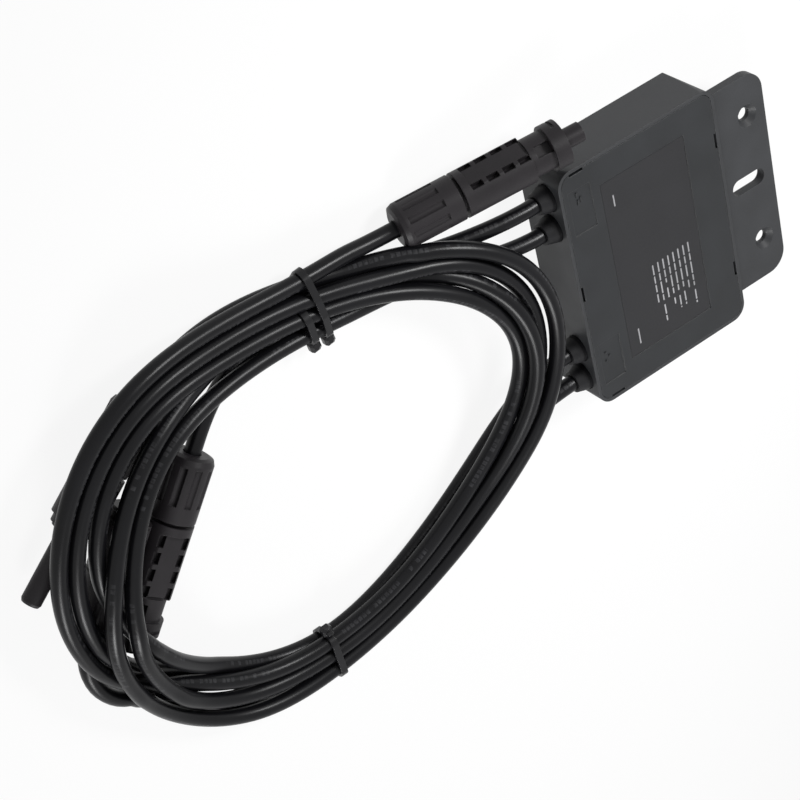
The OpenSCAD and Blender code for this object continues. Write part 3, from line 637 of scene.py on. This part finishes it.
def jacket_print(nodes, length_mm):
    """How much of the printing shows at each place of a cable."""
    uv = nodes.add("ShaderNodeUVMap")
    parts = nodes.add("ShaderNodeSeparateXYZ")
    nodes.join(uv.outputs["UV"], parts.inputs[0])
    along = nodes.math("MULTIPLY", parts.outputs["X"], length_mm)
    around = parts.outputs["Y"]
    cell = nodes.math("DIVIDE", along, PRINT_CELL_MM)
    in_cell = nodes.math("LESS_THAN", nodes.math("FRACT", cell), PRINT_FILL)
    pick = nodes.add("ShaderNodeTexWhiteNoise", noise_dimensions="1D")
    nodes.join(nodes.math("FLOOR", cell), pick.inputs["W"])
    shown = nodes.math("GREATER_THAN", pick.outputs["Value"], PRINT_BARE)
    run = nodes.math("DIVIDE", along, PRINT_RUN_MM)
    in_run = nodes.math("LESS_THAN", nodes.math("FRACT", run), PRINT_SHARE)
    off_band = nodes.math("ABSOLUTE", nodes.math("SUBTRACT", around, PRINT_SIDE))
    in_band = nodes.math("LESS_THAN", off_band, PRINT_BAND / 2)
    blocks = nodes.math("MULTIPLY", in_cell, shown)
    printed = nodes.math("MULTIPLY", blocks, nodes.math("MULTIPLY", in_run, in_band))
    return nodes.math("MULTIPLY", printed, nodes.spread(nodes.noise(WEAR_MM), *WEAR_LEFT))


def jacket_material(name, length_mm):
    """Satin rubber with fine grain and worn printing."""
    material = bpy.data.materials.new(name)
    nodes = ShaderNodes(material)
    nodes.shader.inputs["Specular IOR Level"].default_value = JACKET_SPECULAR
    patches = nodes.noise(JACKET_PATCH_MM)
    grain = nodes.noise(JACKET_GRAIN_MM)
    dark, light = [scaled(JACKET_COLOUR, factor) for factor in JACKET_TONES]
    tone = nodes.mix(nodes.spread(patches, 0.0, 1.0), dark, light)
    tone = nodes.mix(jacket_print(nodes, length_mm), tone, PRINT_TONE)
    nodes.join(tone, nodes.shader.inputs["Base Color"])
    nodes.join(nodes.spread(patches, *JACKET_ROUGH), nodes.shader.inputs["Roughness"])
    nodes.bump(grain, JACKET_GRAIN_DEPTH_MM)
    return material


# Print on the label: plain bars in place of the lines of text

BAR_CORNER = 0.2       # cut off each corner of a bar
BAR_W = 0.6            # width of a bar, across the line
INK_T = 0.04           # thickness of the ink
WORD_GAP = 0.55
SHORTEST_WORD = 0.6
WORDS = (4.4, 3.2, 5.2, 2.6)                     # lengths of the bars in turn
FIRST_LINE_X = 14.6
LINE_PITCH = 2.44
LINE_START_Y = -4.9
LINE_LEAN = 0.086                                # how much later each line starts
# Each line of print: end of its first part, then start and end of its second part
LABEL_LINES = [(19.4, 21.2, 27.2), (14.7, 15.5, 18.9), (17, 18.9, 24.9), (17.5, 19.3, 24.9),
               (17, 18.9, 21.7), (10.6, 12.9, 17.5), (17.5, 18.9, 26.3), (12, 12.9, 16.6)]
PORT_MARKS = [(-13.8, 31.3, 26.5), (-13.6, -27.3, -34.1)]   # x, then where the bar starts and ends


def word_bars(start, end):
    """Lengths of print between two ends, broken up like words."""
    bars = []
    n = 0
    while end - start > SHORTEST_WORD:
        stop = min(start + WORDS[n % len(WORDS)], end)
        bars.append((start, stop))
        start = stop + WORD_GAP
        n += 1
    return bars


def bar_mesh(name, bars, base_z, thick):
    """One mesh of flat bars with cut corners, each (x0, x1, y0, y1) in millimetres, on base_z in metres."""
    cut = BAR_CORNER
    vertices, faces = [], []
    for x0, x1, y0, y1 in bars:
        ring = [(x0 + cut, y0), (x1 - cut, y0), (x1, y0 + cut), (x1, y1 - cut),
                (x1 - cut, y1), (x0 + cut, y1), (x0, y1 - cut), (x0, y0 + cut)]
        first = len(vertices)
        count = len(ring)
        vertices += [(x * MM, y * MM, base_z) for x, y in ring]
        vertices += [(x * MM, y * MM, base_z + thick * MM) for x, y in ring]
        faces.append([first + count + k for k in range(count)])
        faces.append([first + k for k in reversed(range(count))])
        for k in range(count):
            after = (k + 1) % count
            faces.append([first + k, first + after, first + count + after, first + count + k])
    mesh = bpy.data.meshes.new(name)
    mesh.from_pydata(vertices, [], faces)
    piece = add_object(name, mesh)
    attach(piece, "root")
    return piece


def make_label_print(material):
    bars = []
    for n, (first_end, second_start, second_end) in enumerate(LABEL_LINES):
        x = FIRST_LINE_X - n * LINE_PITCH
        top = LINE_START_Y - n * LINE_LEAN
        for start, end in word_bars(0, first_end) + word_bars(second_start, second_end):
            bars.append((x - BAR_W / 2, x + BAR_W / 2, top - end, top - start))
    for x, start, end in PORT_MARKS:
        bars.append((x - BAR_W / 2, x + BAR_W / 2, end, start))
    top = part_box("label_panel")[1][2]
    piece = bar_mesh("label_print", bars, top, INK_T)
    piece.data.materials.append(material)


# Moulded marks on the lid's corner fields: plain raised bars, each x0, x1, y0, y1

CORNER_MARKS = [(-29.2, -28.4, 38.6, 40.4), (-28.9, -28.1, 35.2, 37.4), (-27.6, -26.8, 36.0, 38.2),
                (-30.0, -29.2, -29.1, -28.3), (-28.5, -27.7, -31.0, -30.2), (-30.2, -29.4, -32.6, -31.8)]
MARK_ROOT = 0.3
MARK_RISE = 0.06


def make_corner_marks(material):
    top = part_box("lid")[1][2]
    piece = bar_mesh("corner_marks", CORNER_MARKS, top - MARK_ROOT * MM, MARK_ROOT + MARK_RISE)
    piece.data.materials.append(material)


# Stage and light, in metres

FLOOR_HALF = 4.0
FLOOR_DROP = 0.0002    # how far the floor lies below the part
FLOOR_COLOUR = (0.86, 0.86, 0.86, 1)
FLOOR_ROUGH = 0.9
FLOOR_GLOW = 0.9       # how much of what is seen of the floor is its own white
WORLD_DIFFUSE = 0.22   # strength of the white surroundings as light
WORLD_SEEN = 1.0       # and as a background
LAMPS = [
    # name, place, aim, size, spread in degrees, watts
    ("key", (0.32, 0.36, 0.62), (0.0, 0.0, 0.0), 0.22, 60, 0.72),
    ("rim", (-0.45, -0.55, 0.5), (-0.055, -0.01, 0.02), 0.5, 32, 0.6),
]


def camera_side_rays(tree):
    """1 for rays that show the background: seen directly, mirrored or through glass."""
    path = tree.nodes.new("ShaderNodeLightPath")
    total = path.outputs["Is Camera Ray"]
    for kind in ("Is Glossy Ray", "Is Transmission Ray"):
        widest = tree.nodes.new("ShaderNodeMath")
        widest.operation = "MAXIMUM"
        tree.links.new(total, widest.inputs[0])
        tree.links.new(path.outputs[kind], widest.inputs[1])
        total = widest.outputs[0]
    return total


def make_world():
    world = bpy.data.worlds.new("studio")
    world.use_nodes = True
    tree = world.node_tree
    light = tree.nodes["Background"]
    light.inputs["Color"].default_value = (1, 1, 1, 1)
    strength = tree.nodes.new("ShaderNodeMapRange")
    strength.inputs["To Min"].default_value = WORLD_DIFFUSE
    strength.inputs["To Max"].default_value = WORLD_SEEN
    tree.links.new(camera_side_rays(tree), strength.inputs["Value"])
    tree.links.new(strength.outputs["Result"], light.inputs["Strength"])
    bpy.context.scene.world = world


def floor_material():
    """White paper that takes shadows and looks nearly as white as the background."""
    material = bpy.data.materials.new("floor")
    material.use_nodes = True
    tree = material.node_tree
    paper = tree.nodes["Principled BSDF"]
    paper.inputs["Base Color"].default_value = FLOOR_COLOUR
    paper.inputs["Roughness"].default_value = FLOOR_ROUGH
    glow = tree.nodes.new("ShaderNodeEmission")
    share = tree.nodes.new("ShaderNodeMath")
    share.operation = "MULTIPLY"
    share.inputs[1].default_value = FLOOR_GLOW
    blend = tree.nodes.new("ShaderNodeMixShader")
    tree.links.new(camera_side_rays(tree), share.inputs[0])
    tree.links.new(share.outputs[0], blend.inputs[0])
    tree.links.new(paper.outputs[0], blend.inputs[1])
    tree.links.new(glow.outputs[0], blend.inputs[2])
    tree.links.new(blend.outputs[0], tree.nodes["Material Output"].inputs["Surface"])
    return material


def make_floor():
    height = CAD_BOX[0][2] - FLOOR_DROP
    corners = [(-1, -1), (1, -1), (1, 1), (-1, 1)]
    mesh = bpy.data.meshes.new("floor")
    mesh.from_pydata([(x * FLOOR_HALF, y * FLOOR_HALF, height) for x, y in corners], [], [(0, 1, 2, 3)])
    floor = add_object("floor", mesh)
    mesh.materials.append(floor_material())


def make_lamps():
    for name, place, aim, size, spread, watts in LAMPS:
        data = bpy.data.lights.new(name, "AREA")
        data.size = size
        data.spread = np.radians(spread)
        data.energy = watts
        lamp = add_object(name, data)
        lamp.location = place
        lamp.rotation_euler = (Vector(aim) - Vector(place)).to_track_quat("-Z", "Y").to_euler()


make_camera()
cable_lines = make_cables()
surfaces = make_surfaces()
dress_nodes(surfaces)
for tie in TIES:
    make_tie(tie, cable_lines, surfaces["tie_plastic"])
make_label_print(surfaces["print_ink"])
make_corner_marks(surfaces["lid_plastic"])
make_world()
make_floor()
make_lamps()
bpy.context.scene.view_settings.view_transform = "Standard"
